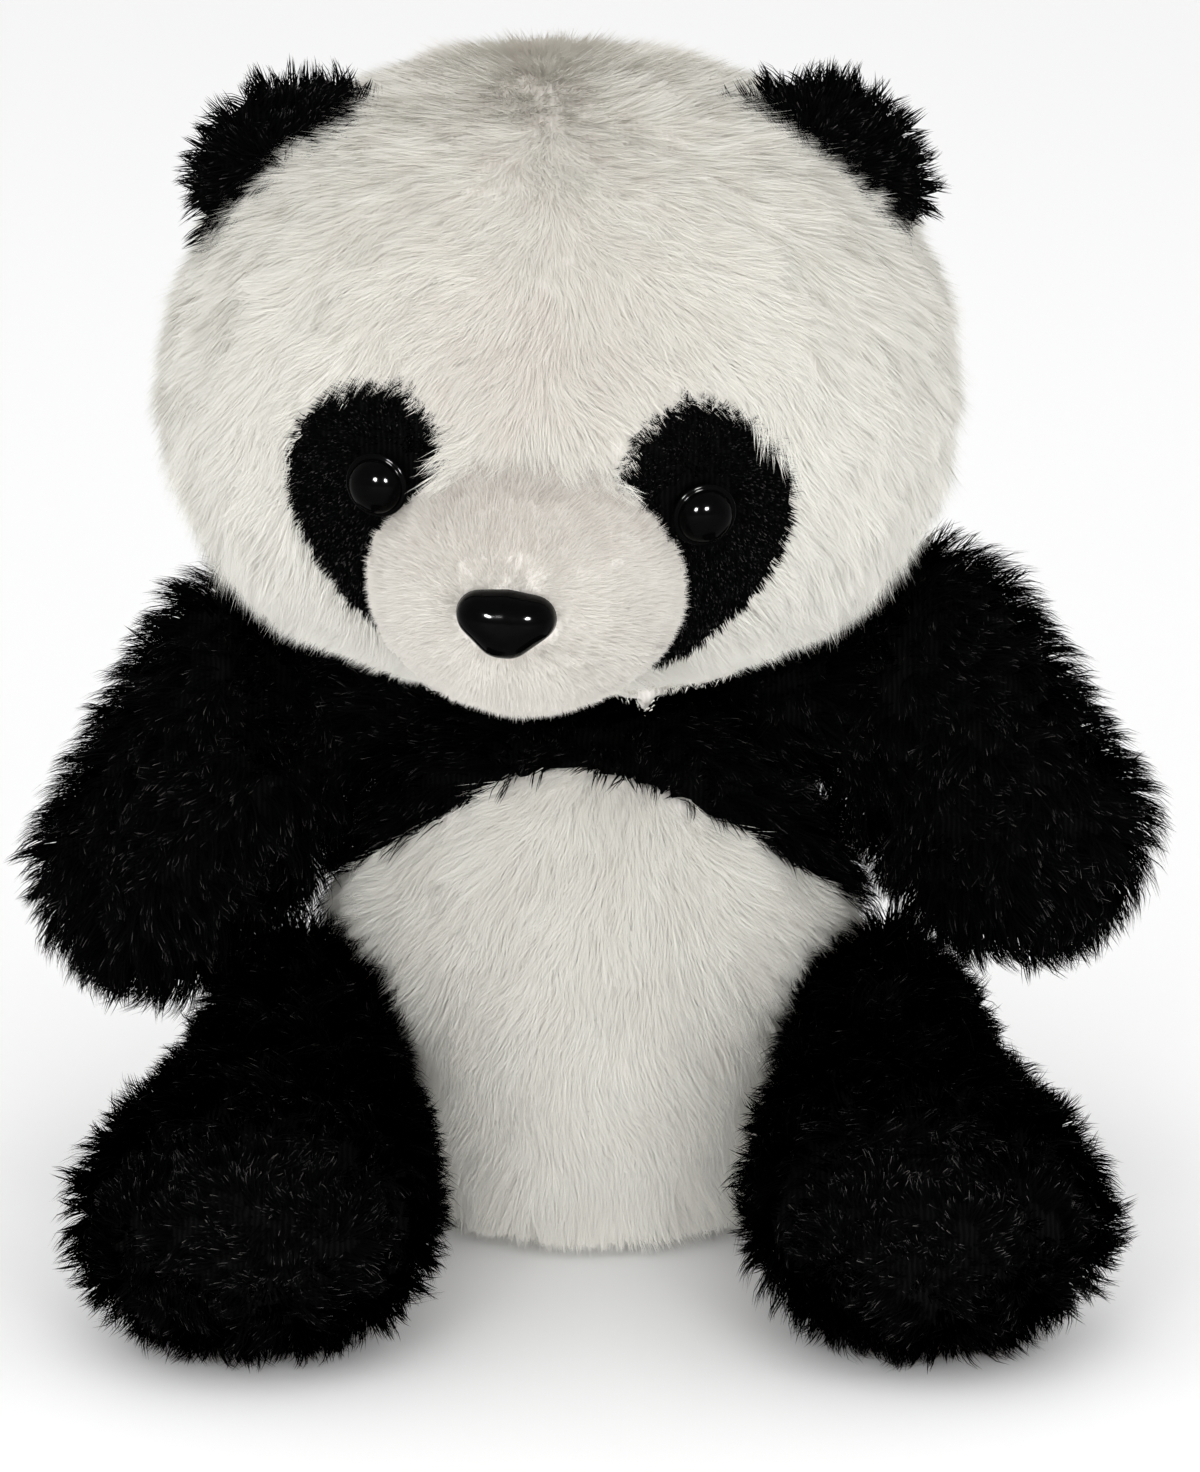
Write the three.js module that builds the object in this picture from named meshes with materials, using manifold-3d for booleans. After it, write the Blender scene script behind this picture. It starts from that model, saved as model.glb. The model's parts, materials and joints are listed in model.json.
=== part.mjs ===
// A sitting plush panda: pile fabric covers cut in panels, loose stuffing inside them,
// glossy safety eyes and nose held by washers. Millimetres, +Z up, the face looks along -Y.
// The origin is the middle of the flat seat, on the floor.
import * as THREE from 'three';
import { mergeVertices } from 'three/addons/utils/BufferGeometryUtils.js';
import Module from 'manifold-3d';

const wasm = await Module();
wasm.setup();

// ---- driving dimensions ----
const SEAM = 0.3; // gap between two panels along their seam
const COVER = 3; // backing cloth with its pressed pile
const FILL_GAP = 1.8; // between an arm's cloth and its stuffing, where the arm bends
const CLEARANCE = 0.8; // room between a moving part and its neighbour
const HEAD_ROOM = 5.5; // room between an arm and the head, which nods and turns over it
const FACET_ROOM = 0.6; // more room where coarse facets pass between their finest places
const LIFT_ROOM = 2; // room between an arm and a leg that lifts towards it

const HEAD = { centre: [-4.7, -7, 122.8], radii: [56.8, 48.5, 47.8], backSeam: 18 };
const FACE_TURN = -5; // degrees about Z, the face looks a little to -X
const FACE_ROLL = 5; // degrees about Y, the +X eye sits lower
const MUZZLE = { offset: [0.8, -36.3, -19.2], radii: [22.6, 24, 19.9] };
const EYE = { spacing: 43.8, shift: [-1.6, -7.5], radius: 4.5, rise: 3, lip: 0.6, shank: 2, length: 9 };
const NOSE = { width: 13.5, height: 9.4, depth: 5, shift: [-0.6, -2], shank: 2.4, length: 9 };
const NOSE_EDGE = 1; // radius of the nose button's soft edge
const WASHER = { radius: 6, bore: 0.4, thickness: 1.4, seat: 2.3, noseSeat: 3.5 };
const EAR = { offset: [36.5, -8, 30.5], tilt: 34, halfWidth: 15.5, height: 13, thickness: 6 };
const EAR_FOLD = 35; // degrees each way that the ear's root leaves room for

const NECK = { pivot: [-2, -2, 84], socket: 22, plug: 21, floor: 81, brim: 4 };
const TORSO = { y: 4, depthShare: 0.9, seatRadius: 27, seatPanel: 21, top: 80 };
const SIDE_SEAM = 10; // Y of the seam between the torso's front and back panels
// The seam under the chest band, from the middle outwards, and how far it leans to one side.
const BELLY_SEAM = { right: [[0, 70.5], [9, 68.5], [18.5, 63.5], [29, 56], [38, 46], [50, 28]], lean: -3 };
const BACK_ARCH = { radius: 39, centre: 27 };
const SHOULDER = { pivot: [36, 8, 75], face: 30.3, radius: 20.5, swing: [-10, 45] };
const HIP = { pivot: [36, -8, 21], lift: [0, 25] };
const SOLE = { front: 77, turn: 6 };
const PELLETS = { centre: [0, 8, 15], radii: [20, 16, 10], slit: 4 };

// Limbs of the +X side: places along the middle line, each with its half depth and half width.
const ARM = {
  line: [[20, 11, 77], [36, 9, 78], [45, 6, 75.5], [52, 1, 66], [61.8, -8, 50], [68, -12, 36]],
  halfSizes: [[16, 17], [17, 19], [16.5, 20], [15.5, 19], [14.5, 18.5], [13, 16]],
  caps: [0.1, 0.2],
  lean: -30,
};
const ARM_RAISE = { left: 0, right: 6 }; // how much higher each paw is held
// Here each place has its half width and half height.
const LEG = {
  line: [[42, 10, 22], [42, -8, 22], [41.5, -30, 20.5], [43.5, -50, 19.3], [46, -67, 18.5], [47, -87, 18.5]],
  halfSizes: [[11, 19], [13, 21.5], [15.5, 20.5], [21, 19.8], [26, 19], [26.5, 18.5]],
  caps: [0.16, 0.27],
};
const UPWARDS = [0, 0.3, 1]; // the way that the tops of a limb's sections face

// Facets of a round form: outside faces are finer than the hidden ones.
const FINE = { around: 20, rings: 12, limbAround: 14, limbRings: 11, bodyAround: 24, bodySteps: 8 };
const COARSE = { around: 14, rings: 9, limbAround: 10, limbRings: 8, bodyAround: 16, bodySteps: 6 };
const detailFor = (grow) => (grow <= -COVER ? COARSE : FINE);

const COLOURS = {
  black: { color: 0x151417, roughness: 0.92, metalness: 0 },
  white: { color: 0xe4e1d8, roughness: 0.95, metalness: 0 },
  crown: { color: 0xd2c8bf, roughness: 0.95, metalness: 0 },
  cream: { color: 0xd9d0c4, roughness: 0.93, metalness: 0 },
  gloss: { color: 0x08080a, roughness: 0.08, metalness: 0 },
  washer: { color: 0xd8d8d4, roughness: 0.5, metalness: 0 },
  stuffing: { color: 0xf2f2ee, roughness: 1, metalness: 0 },
  pellets: { color: 0xc9c2b0, roughness: 0.8, metalness: 0 },
};

// ---- solids ----
const FAR = 300; // past the end of everything
const THROUGH = 40; // long enough for a tool that cuts right through a wall
const toRad = THREE.MathUtils.degToRad;
const vec = (a) => new THREE.Vector3(...a);
const mirrored = (point, side) => [point[0] * side, point[1], point[2]];

function solidOf(geometry) {
  const bare = geometry.clone();
  bare.deleteAttribute('normal');
  bare.deleteAttribute('uv');
  const merged = mergeVertices(bare, 1e-4);
  return new wasm.Manifold(new wasm.Mesh({
    numProp: 3,
    vertProperties: new Float32Array(merged.attributes.position.array),
    triVerts: new Uint32Array(merged.index.array),
  }));
}

function geometryOf(solid) {
  const mesh = solid.getMesh();
  const geometry = new THREE.BufferGeometry();
  geometry.setAttribute('position', new THREE.BufferAttribute(mesh.vertProperties, 3));
  geometry.setIndex(new THREE.BufferAttribute(mesh.triVerts, 1));
  geometry.computeVertexNormals();
  return geometry;
}

function ellipsoid(centre, radii, grow = 0, detail = detailFor(grow)) {
  const geometry = new THREE.SphereGeometry(1, detail.around, detail.rings);
  geometry.rotateX(Math.PI / 2);
  geometry.scale(radii[0] + grow, radii[1] + grow, radii[2] + grow);
  return geometry.translate(...centre);
}

function block(low, high) {
  const size = high.map((h, i) => h - low[i]);
  const geometry = new THREE.BoxGeometry(...size);
  return geometry.translate(...low.map((l, i) => l + size[i] / 2));
}

// Everything on one side of a plane: axis is 0, 1 or 2, and side is 1 above it or -1 below.
function halfSpace(axis, place, side, about = [0, 0, 0], turn = null) {
  const low = [-FAR, -FAR, -FAR];
  const high = [FAR, FAR, FAR];
  const end = side > 0 ? low : high;
  end[axis] = place;
  const geometry = block(low, high);
  return solidOf(turn ? turned(geometry, about, turn.axis, turn.degrees) : geometry);
}

function turned(geometry, pivot, axis, degrees) {
  const back = vec(pivot).negate();
  const moved = geometry.clone().translate(back.x, back.y, back.z);
  moved.applyMatrix4(new THREE.Matrix4().makeRotationAxis(vec(axis), toRad(degrees)));
  return moved.translate(...pivot);
}

// A rod from one point along a direction, closed at both ends.
function rod(start, direction, length, radius, sides = 16) {
  const geometry = new THREE.CylinderGeometry(radius, radius, length, sides);
  geometry.translate(0, length / 2, 0);
  return placedAlong(geometry, start, direction);
}

// Geometry made along +Y, moved to stand at a point and look along a direction.
function placedAlong(geometry, start, direction) {
  const turn = new THREE.Quaternion();
  turn.setFromUnitVectors(new THREE.Vector3(0, 1, 0), vec(direction).normalize());
  return geometry.applyQuaternion(turn).translate(...start);
}

// A stuffed limb: oval sections along a curve, with rounded ends.
function limb({ line, halfSizes, caps }, side, grow, detail) {
  const curve = new THREE.CatmullRomCurve3(line.map((point) => vec(mirrored(point, side))));
  const last = halfSizes.length - 1;
  const geometry = new THREE.SphereGeometry(1, detail.limbAround, detail.limbRings);
  const position = geometry.attributes.position;
  for (let i = 0; i < position.count; i += 1) {
    const u = (1 - position.getY(i)) / 2;
    const angle = Math.atan2(position.getZ(i), position.getX(i));
    const step = Math.min(Math.floor(u * last), last - 1);
    const [wide, high] = [0, 1].map((k) => grow
      + THREE.MathUtils.lerp(halfSizes[step][k], halfSizes[step + 1][k], u * last - step));
    const start = 1 - Math.min(u / caps[0], 1);
    const end = 1 - Math.min((1 - u) / caps[1], 1);
    const round = Math.sqrt(Math.max(0, 1 - start * start - end * end));
    const tangent = curve.getTangent(u);
    const across = new THREE.Vector3().crossVectors(tangent, vec(UPWARDS)).normalize();
    const up = new THREE.Vector3().crossVectors(across, tangent);
    const place = curve.getPoint(u).addScaledVector(tangent, (2 * u - 1) * grow);
    place.addScaledVector(across, Math.cos(angle) * wide * round);
    place.addScaledVector(up, Math.sin(angle) * high * round);
    position.setXYZ(i, place.x, place.y, place.z);
  }
  return outward(geometry);
}

// Turns a closed geometry's faces over if they point inwards.
function outward(geometry) {
  const p = geometry.attributes.position;
  const index = geometry.index.array;
  const corner = [new THREE.Vector3(), new THREE.Vector3(), new THREE.Vector3()];
  let volume = 0;
  for (let i = 0; i < index.length; i += 3) {
    corner.forEach((c, k) => c.fromBufferAttribute(p, index[i + k]));
    volume += corner[0].dot(corner[1].clone().cross(corner[2]));
  }
  if (volume > 0) return geometry;
  for (let i = 0; i < index.length; i += 3) {
    const first = index[i];
    index[i] = index[i + 1];
    index[i + 1] = first;
  }
  return geometry;
}

// The body's outer form, an oval pear with a flat seat.
function torsoGeometry(grow = 0, detail = detailFor(grow)) {
  const side = new THREE.SplineCurve([
    [35, 5], [39.7, 20], [39.7, 38], [37.5, 50], [33, 60], [29.5, 68], [21.5, 76], [0, TORSO.top],
  ].map(([r, z]) => new THREE.Vector2(r === 0 ? 0 : r + grow, z + (z / TORSO.top) * grow)));
  const seat = [new THREE.Vector2(0, -grow), new THREE.Vector2(TORSO.seatRadius + grow, -grow)];
  const outline = [...seat, ...side.getPoints(detail.bodySteps)];
  const geometry = new THREE.LatheGeometry(outline, detail.bodyAround);
  geometry.rotateX(Math.PI / 2).scale(1, TORSO.depthShare, 1).translate(0, TORSO.y, 0);
  return outward(mergeVertices(geometry));
}

function armGeometry(side, grow = 0, detail = detailFor(grow)) {
  const raise = side > 0 ? ARM_RAISE.right : ARM_RAISE.left;
  const last = ARM.line.length - 1;
  const line = ARM.line.map(([x, y, z], i) => [x, y, z + (raise * i) / last]);
  return limb({ ...ARM, line }, side, grow, detail);
}

const legGeometry = (side, grow = 0, detail = detailFor(grow)) => limb(LEG, side, grow, detail);

function swept(makeGeometry, pivot, axis, angles) {
  return angles.map((a) => solidOf(turned(makeGeometry(), pivot, axis, a)));
}

const cut = (solid, tools) => tools.reduce((left, tool) => left.subtract(tool), solid);
const keep = (solid, tools) => tools.reduce((left, tool) => left.intersect(tool), solid);

// The biggest of a solid's bodies, without the slivers that a cut leaves beside it.
const biggest = (solid) => solid.decompose().sort((a, b) => b.volume() - a.volume())[0];

// ---- scene graph ----
const panda = new THREE.Group();

function addNode(name, geometryOrSolid, colour) {
  const geometry = geometryOrSolid.getMesh ? geometryOf(geometryOrSolid) : geometryOrSolid;
  const mesh = new THREE.Mesh(geometry, new THREE.MeshStandardMaterial(COLOURS[colour]));
  mesh.name = name;
  panda.add(mesh);
}

const sides = [['left', -1], ['right', 1]];

// ---- head ----
// A place on the face, given from the head's centre before the face is turned and rolled.
function facePlace(offset) {
  const turn = new THREE.Euler(0, toRad(FACE_ROLL), toRad(FACE_TURN), 'ZYX');
  return vec(offset).applyEuler(turn).add(vec(HEAD.centre)).toArray();
}

// The point of the head's surface in front of a place, and the direction that it faces.
function onHead([x, , z]) {
  const [cx, cy, cz] = HEAD.centre;
  const [a, b, c] = HEAD.radii;
  const dy = b * Math.sqrt(1 - ((x - cx) / a) ** 2 - ((z - cz) / c) ** 2);
  const normal = vec([(x - cx) / a ** 2, -dy / b ** 2, (z - cz) / c ** 2]).normalize();
  return { point: [x, cy - dy, z], normal: normal.toArray() };
}

function along(point, direction, distance) {
  return vec(point).addScaledVector(vec(direction), distance).toArray();
}

const muzzleCentre = facePlace(MUZZLE.offset);
const muzzleForm = (grow) => solidOf(ellipsoid(muzzleCentre, MUZZLE.radii, grow, grow < 0 ? COARSE : FINE));
const headForm = (grow) => solidOf(ellipsoid(HEAD.centre, HEAD.radii, grow));
const neckSocket = solidOf(ellipsoid(NECK.pivot, [1, 1, 1], NECK.socket - 1, COARSE));

const eyes = sides.map(([name, side]) => {
  const place = facePlace([EYE.shift[0] + (side * EYE.spacing) / 2, 0, EYE.shift[1]]);
  return { name, side, ...onHead(place) };
});

const noseFront = facePlace([
  MUZZLE.offset[0] + NOSE.shift[0],
  MUZZLE.offset[1] - MUZZLE.radii[1],
  MUZZLE.offset[2] + NOSE.shift[1],
]);
const noseDirection = vec([0, -1, 0]).applyEuler(new THREE.Euler(0, 0, toRad(FACE_TURN))).toArray();

// The dark patch's outline round the eye on the +X side, from the eye's centre.
const PATCH = [[-2, 15], [8, 11.5], [13.3, 2], [10.5, -11.5], [-2, -26], [-8, -13], [-9.6, 1], [-8, 9.5]];
const PATCH_SHIFT = -1; // both patches sit a little to -X of their eyes
const PATCH_SHARE = { left: 0.94, right: 1.06 };
const PATCH_STEPS = 18;

function patchPrism({ name, side, point }, grow) {
  const ring = new THREE.SplineCurve([...PATCH, PATCH[0]].map(([x, z]) => {
    const reach = Math.hypot(x, z);
    const scale = PATCH_SHARE[name] + grow / reach;
    return new THREE.Vector2(x * scale * side, z * scale);
  }));
  const shape = new THREE.Shape(ring.getPoints(PATCH_STEPS).slice(0, PATCH_STEPS));
  const geometry = new THREE.ExtrudeGeometry(shape, { depth: THROUGH, bevelEnabled: false });
  geometry.rotateX(Math.PI / 2).rotateY(toRad(FACE_ROLL));
  geometry.translate(point[0] + PATCH_SHIFT, point[1] + THROUGH / 2, point[2]);
  return solidOf(outward(mergeVertices(geometry)));
}

const earForms = sides.map(([name, side]) => {
  const centre = mirrored(EAR.offset, side).map((v, i) => v + HEAD.centre[i]);
  const tilt = EAR.tilt * side;
  const axis = [Math.cos(toRad(tilt)), 0, -Math.sin(toRad(tilt))];
  const disc = ellipsoid([0, 0, 0], [EAR.halfWidth, EAR.thickness / 2, EAR.height], 0, COARSE);
  disc.rotateY(toRad(tilt)).translate(...centre);
  return { name, centre, axis, disc };
});

function buildEars() {
  const headWithRoom = ellipsoid(HEAD.centre, HEAD.radii, CLEARANCE);
  const folds = [-EAR_FOLD, 0, EAR_FOLD];
  for (const ear of earForms) {
    const obstacles = folds.map((a) => solidOf(turned(headWithRoom, ear.centre, ear.axis, a)));
    const form = cut(solidOf(ear.disc), obstacles);
    const middle = ear.centre[1];
    addNode(`ear_${ear.name}_front`, keep(form, [halfSpace(1, middle - SEAM / 2, -1)]), 'black');
    addNode(`ear_${ear.name}_back`, keep(form, [halfSpace(1, middle + SEAM / 2, 1)]), 'black');
  }
}

// A hole through the cloth for a shank.
function shankHole(point, normal, radius) {
  const start = along(point, normal, COVER);
  return solidOf(rod(start, normal.map((n) => -n), THROUGH / 2, radius + WASHER.bore));
}

function buildHead() {
  const patchesHole = eyes.map((eye) => patchPrism(eye, SEAM / 2));
  const shankHoles = eyes.map((eye) => shankHole(eye.point, eye.normal, EYE.shank));
  const shell = cut(headForm(0), [headForm(-COVER), neckSocket]);
  const opened = cut(shell, [muzzleForm(SEAM)]);
  const [cx, cy] = HEAD.centre;
  const white = cut(opened, patchesHole);
  const backSeam = cy + HEAD.backSeam;
  const front = halfSpace(1, backSeam - SEAM / 2, -1);
  const faceTurn = { axis: [0, 0, 1], degrees: FACE_TURN };
  for (const [name, side] of sides) {
    const half = halfSpace(0, cx + (side * SEAM) / 2, side, HEAD.centre, faceTurn);
    addNode(`head_side_${name}`, keep(white, [front, half]), 'crown');
  }
  addNode('head_back', keep(white, [halfSpace(1, backSeam + SEAM / 2, 1)]), 'white');
  eyes.forEach((eye) => {
    const patch = keep(opened, [patchPrism(eye, -SEAM / 2), front]);
    addNode(`eye_patch_${eye.name}`, cut(patch, shankHoles), 'black');
  });

  const noseHole = shankHole(noseFront, noseDirection, NOSE.shank);
  const muzzle = cut(muzzleForm(0), [muzzleForm(-COVER), headForm(-COVER), noseHole]);
  addNode('muzzle', muzzle, 'cream');
}

// A domed eye on its shank, made along +Y with the cloth's face at zero.
function eyeGeometry() {
  const { radius, rise, lip, shank, length } = EYE;
  const stem = [[0, -length], [shank, -length], [shank, SEAM], [radius, SEAM]];
  const profile = stem.map((place) => new THREE.Vector2(...place));
  const STEPS = 4;
  for (let i = 1; i <= STEPS; i += 1) {
    const angle = (i / STEPS) * (Math.PI / 2);
    profile.push(new THREE.Vector2(radius * Math.cos(angle), SEAM + lip + rise * Math.sin(angle)));
  }
  profile[profile.length - 1].x = 0;
  return outward(mergeVertices(new THREE.LatheGeometry(profile, 14)));
}

function washerGeometry(bore) {
  const { radius, thickness } = WASHER;
  const half = thickness / 2;
  const ring = [[bore, -half], [radius, -half], [radius, half], [bore, half], [bore, -half]];
  const profile = ring.map((place) => new THREE.Vector2(...place));
  return outward(mergeVertices(new THREE.LatheGeometry(profile, 12)));
}

// A rounded triangle, point down, with a soft edge.
function noseButton() {
  const { width, height, depth } = NOSE;
  const halfWidth = width / 2;
  const brow = height / 2 - NOSE_EDGE;
  const corner = halfWidth - NOSE_EDGE;
  const shape = new THREE.Shape();
  shape.moveTo(0, -brow);
  shape.quadraticCurveTo(width * 0.32, -height * 0.42, corner, height * 0.1);
  shape.quadraticCurveTo(halfWidth, brow, width * 0.25, brow);
  shape.lineTo(-width * 0.25, brow);
  shape.quadraticCurveTo(-halfWidth, brow, -corner, height * 0.1);
  shape.quadraticCurveTo(-width * 0.32, -height * 0.42, 0, -brow);
  const edge = { bevelThickness: NOSE_EDGE, bevelSize: NOSE_EDGE, bevelSegments: 2, curveSegments: 4 };
  const soft = { depth: depth - 2 * NOSE_EDGE, ...edge };
  const geometry = new THREE.ExtrudeGeometry(shape, soft);
  return outward(mergeVertices(geometry.rotateX(Math.PI / 2)));
}

function buildFaceHardware() {
  const washerDepth = COVER + WASHER.thickness / 2;
  for (const eye of eyes) {
    addNode(`eye_${eye.name}`, placedAlong(eyeGeometry(), eye.point, eye.normal), 'gloss');
    const place = along(eye.point, eye.normal, -washerDepth - WASHER.seat);
    const washer = washerGeometry(EYE.shank + WASHER.bore);
    addNode(`eye_washer_${eye.name}`, placedAlong(washer, place, eye.normal), 'washer');
  }
  const button = noseButton().rotateY(toRad(FACE_ROLL)).rotateZ(toRad(FACE_TURN));
  button.translate(...along(noseFront, noseDirection, NOSE_EDGE + SEAM));
  const inwards = noseDirection.map((n) => -n);
  const shank = rod(along(noseFront, noseDirection, NOSE_EDGE), inwards, NOSE.length, NOSE.shank);
  addNode('nose', solidOf(button).add(solidOf(shank)), 'gloss');
  const washer = washerGeometry(NOSE.shank + WASHER.bore);
  const place = along(noseFront, noseDirection, -washerDepth - WASHER.noseSeat);
  addNode('nose_washer', placedAlong(washer, place, noseDirection), 'washer');
}

function buildHeadStuffing() {
  const pocket = (point, direction, length) => solidOf(
    rod(point, direction.map((n) => -n), length + SEAM * 2, WASHER.radius + SEAM * 2));
  const fill = cut(headForm(-COVER - SEAM), [neckSocket]).add(muzzleForm(-COVER - SEAM));
  const pockets = eyes.map((eye) => pocket(eye.point, eye.normal, EYE.length));
  const nosePocket = pocket(noseFront, noseDirection, NOSE.length);
  addNode('head_stuffing', cut(fill, [...pockets, nosePocket]), 'stuffing');
  const plug = solidOf(ellipsoid(NECK.pivot, [1, 1, 1], NECK.plug - 1, COARSE));
  addNode('neck_stuffing', keep(plug, [halfSpace(2, NECK.floor, 1)]), 'stuffing');
}

// ---- body ----
// The room that a leg takes from its rest place to its highest.
function legSweep(side, grow, shares = [0, 0.5, 1]) {
  const angles = shares.map((share) => -HIP.lift[1] * share);
  return swept(() => legGeometry(side, grow, COARSE), mirrored(HIP.pivot, side), [1, 0, 0], angles);
}

function shoulderSlots() {
  const [, y, z] = SHOULDER.pivot;
  return sides.map(([, side]) => {
    const start = [side * (SHOULDER.face - SEAM), y, z];
    return solidOf(rod(start, [side, 0, 0], THROUGH, SHOULDER.radius, 24));
  });
}

// All the space below the seam under the chest band.
function underChestSeam(grow) {
  const right = BELLY_SEAM.right.map(([x, z]) => new THREE.Vector2(x, z + grow));
  const left = right.slice(1).reverse().map(({ x, y }) => new THREE.Vector2(-x, y));
  const seam = new THREE.SplineCurve([...left, ...right]).getPoints(24);
  const [first, last] = [seam[0], seam[seam.length - 1]];
  const under = [new THREE.Vector2(last.x, -FAR), new THREE.Vector2(first.x, -FAR)];
  const shape = new THREE.Shape([...seam, ...under]);
  const geometry = new THREE.ExtrudeGeometry(shape, { depth: FAR, bevelEnabled: false });
  geometry.rotateX(Math.PI / 2).translate(0, FAR / 2, 0).rotateY(toRad(BELLY_SEAM.lean));
  return solidOf(outward(mergeVertices(geometry)));
}

function buildTorso() {
  const legRoom = sides.flatMap(([, side]) => legSweep(side, CLEARANCE + FACET_ROOM));
  const outer = cut(solidOf(torsoGeometry()), [...legRoom, ...shoulderSlots()]);
  const shell = cut(outer, [solidOf(torsoGeometry(-COVER))]);
  const disc = (radius, low, high) => solidOf(
    rod([0, TORSO.y, low], [0, 0, 1], high - low, radius, 32));
  const seat = disc(TORSO.seatPanel, -COVER, COVER);
  const seatHole = disc(TORSO.seatPanel + SEAM, -COVER, 2 * COVER);
  addNode('seat_panel', keep(solidOf(torsoGeometry()), [seat]), 'white');

  const wall = cut(shell, [seatHole]);
  const front = halfSpace(1, SIDE_SEAM - SEAM / 2, -1);
  const behind = halfSpace(1, SIDE_SEAM + SEAM / 2, 1);
  const backArch = (grow) => solidOf(
    rod([0, 0, BACK_ARCH.centre], [0, 1, 0], FAR, BACK_ARCH.radius + grow, 32));
  for (const [name, side] of sides) {
    const half = halfSpace(0, (side * SEAM) / 2, side);
    const belly = keep(wall, [front, half, underChestSeam(-SEAM / 2)]);
    const back = keep(wall, [behind, half, backArch(-SEAM / 2)]);
    addNode(`belly_${name}`, biggest(belly), 'white');
    addNode(`back_${name}`, biggest(back), 'white');
  }
  addNode('chest_yoke', biggest(cut(keep(wall, [front]), [underChestSeam(SEAM / 2)])), 'black');
  addNode('shoulder_yoke', biggest(cut(keep(wall, [behind]), [backArch(SEAM / 2)])), 'black');

  const pelletRoom = solidOf(ellipsoid(PELLETS.centre, PELLETS.radii, SEAM, COARSE));
  const legGap = sides.flatMap(([, side]) => legSweep(side, CLEARANCE + COVER / 2, [0, 1]));
  const fill = cut(solidOf(torsoGeometry(-COVER - SEAM)), [...legGap, ...shoulderSlots()]);
  const neckBrim = halfSpace(2, TORSO.top - NECK.brim, 1);
  const fillingSlit = solidOf(rod(PELLETS.centre, [0, 0, 1], FAR, PELLETS.slit));
  addNode('body_stuffing', cut(fill, [pelletRoom, neckBrim, fillingSlit]), 'stuffing');
  addNode('pellet_bag', ellipsoid(PELLETS.centre, PELLETS.radii, 0, COARSE), 'pellets');
}

// ---- limbs ----
// What an arm makes room for as it swings, with the same room everywhere.
function armObstacles(side, room) {
  const pivot = mirrored(SHOULDER.pivot, side);
  const angles = [SHOULDER.swing[0], 0, SHOULDER.swing[1] / 2, SHOULDER.swing[1]];
  const head = () => ellipsoid(HEAD.centre, HEAD.radii, HEAD_ROOM + room, COARSE);
  const body = () => torsoGeometry(CLEARANCE + FACET_ROOM + room, COARSE);
  return [
    halfSpace(0, side * (SHOULDER.face + room), -side),
    ...swept(head, pivot, [1, 0, 0], angles),
    ...swept(body, pivot, [1, 0, 0], angles),
    ...legSweep(side, LIFT_ROOM + room),
  ];
}

function buildArm(name, side) {
  const pivot = mirrored(SHOULDER.pivot, side);
  const outer = cut(solidOf(armGeometry(side)), armObstacles(side, 0));
  const inner = cut(solidOf(armGeometry(side, -COVER)), armObstacles(side, COVER));
  const inset = COVER + FILL_GAP;
  const fill = cut(solidOf(armGeometry(side, -inset)), armObstacles(side, inset));
  const lean = { axis: [1, 0, 0], degrees: ARM.lean };
  const frontHalf = halfSpace(1, pivot[1] - SEAM / 2, -1, pivot, lean);
  const backHalf = halfSpace(1, pivot[1] + SEAM / 2, 1, pivot, lean);
  const shell = cut(outer, [inner]);
  addNode(`arm_${name}_front`, biggest(keep(shell, [frontHalf])), 'black');
  addNode(`arm_${name}_back`, biggest(keep(shell, [backHalf])), 'black');
  addNode(`arm_${name}_stuffing`, fill, 'stuffing');
}

function buildLeg(name, side) {
  const floor = halfSpace(2, 0, -1);
  const outer = cut(solidOf(legGeometry(side)), [floor]);
  const inner = cut(solidOf(legGeometry(side, -COVER)), [halfSpace(2, COVER, -1)]);
  const hip = mirrored(HIP.pivot, side);
  const toe = [hip[0], -SOLE.front, hip[2]];
  const lean = { axis: [0, 0, 1], degrees: SOLE.turn * side };
  const shell = cut(outer, [inner]);
  const soleHalf = halfSpace(1, -SOLE.front - SEAM / 2, -1, toe, lean);
  const restHalf = halfSpace(1, -SOLE.front + SEAM / 2, 1, toe, lean);
  const innerHalf = halfSpace(0, hip[0] - (side * SEAM) / 2, -side, hip, lean);
  const outerHalf = halfSpace(0, hip[0] + (side * SEAM) / 2, side, hip, lean);
  addNode(`leg_${name}_inner`, keep(shell, [restHalf, innerHalf]), 'black');
  addNode(`leg_${name}_outer`, keep(shell, [restHalf, outerHalf]), 'black');
  addNode(`foot_sole_${name}`, keep(shell, [soleHalf]), 'black');
  const fill = cut(solidOf(legGeometry(side, -COVER - SEAM)), [halfSpace(2, COVER + SEAM, -1)]);
  addNode(`leg_${name}_stuffing`, fill, 'stuffing');
}

buildHead();
buildFaceHardware();
buildHeadStuffing();
buildEars();
buildTorso();
for (const [name, side] of sides) {
  buildArm(name, side);
  buildLeg(name, side);
}

export default panda;
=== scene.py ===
"""The plush panda's looks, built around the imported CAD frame: stuffed covers, mesh pile, eyes and nose."""

import json
import math

import bpy
import numpy as np
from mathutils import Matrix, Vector
from mathutils.bvhtree import BVHTree
from mathutils.kdtree import KDTree


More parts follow.
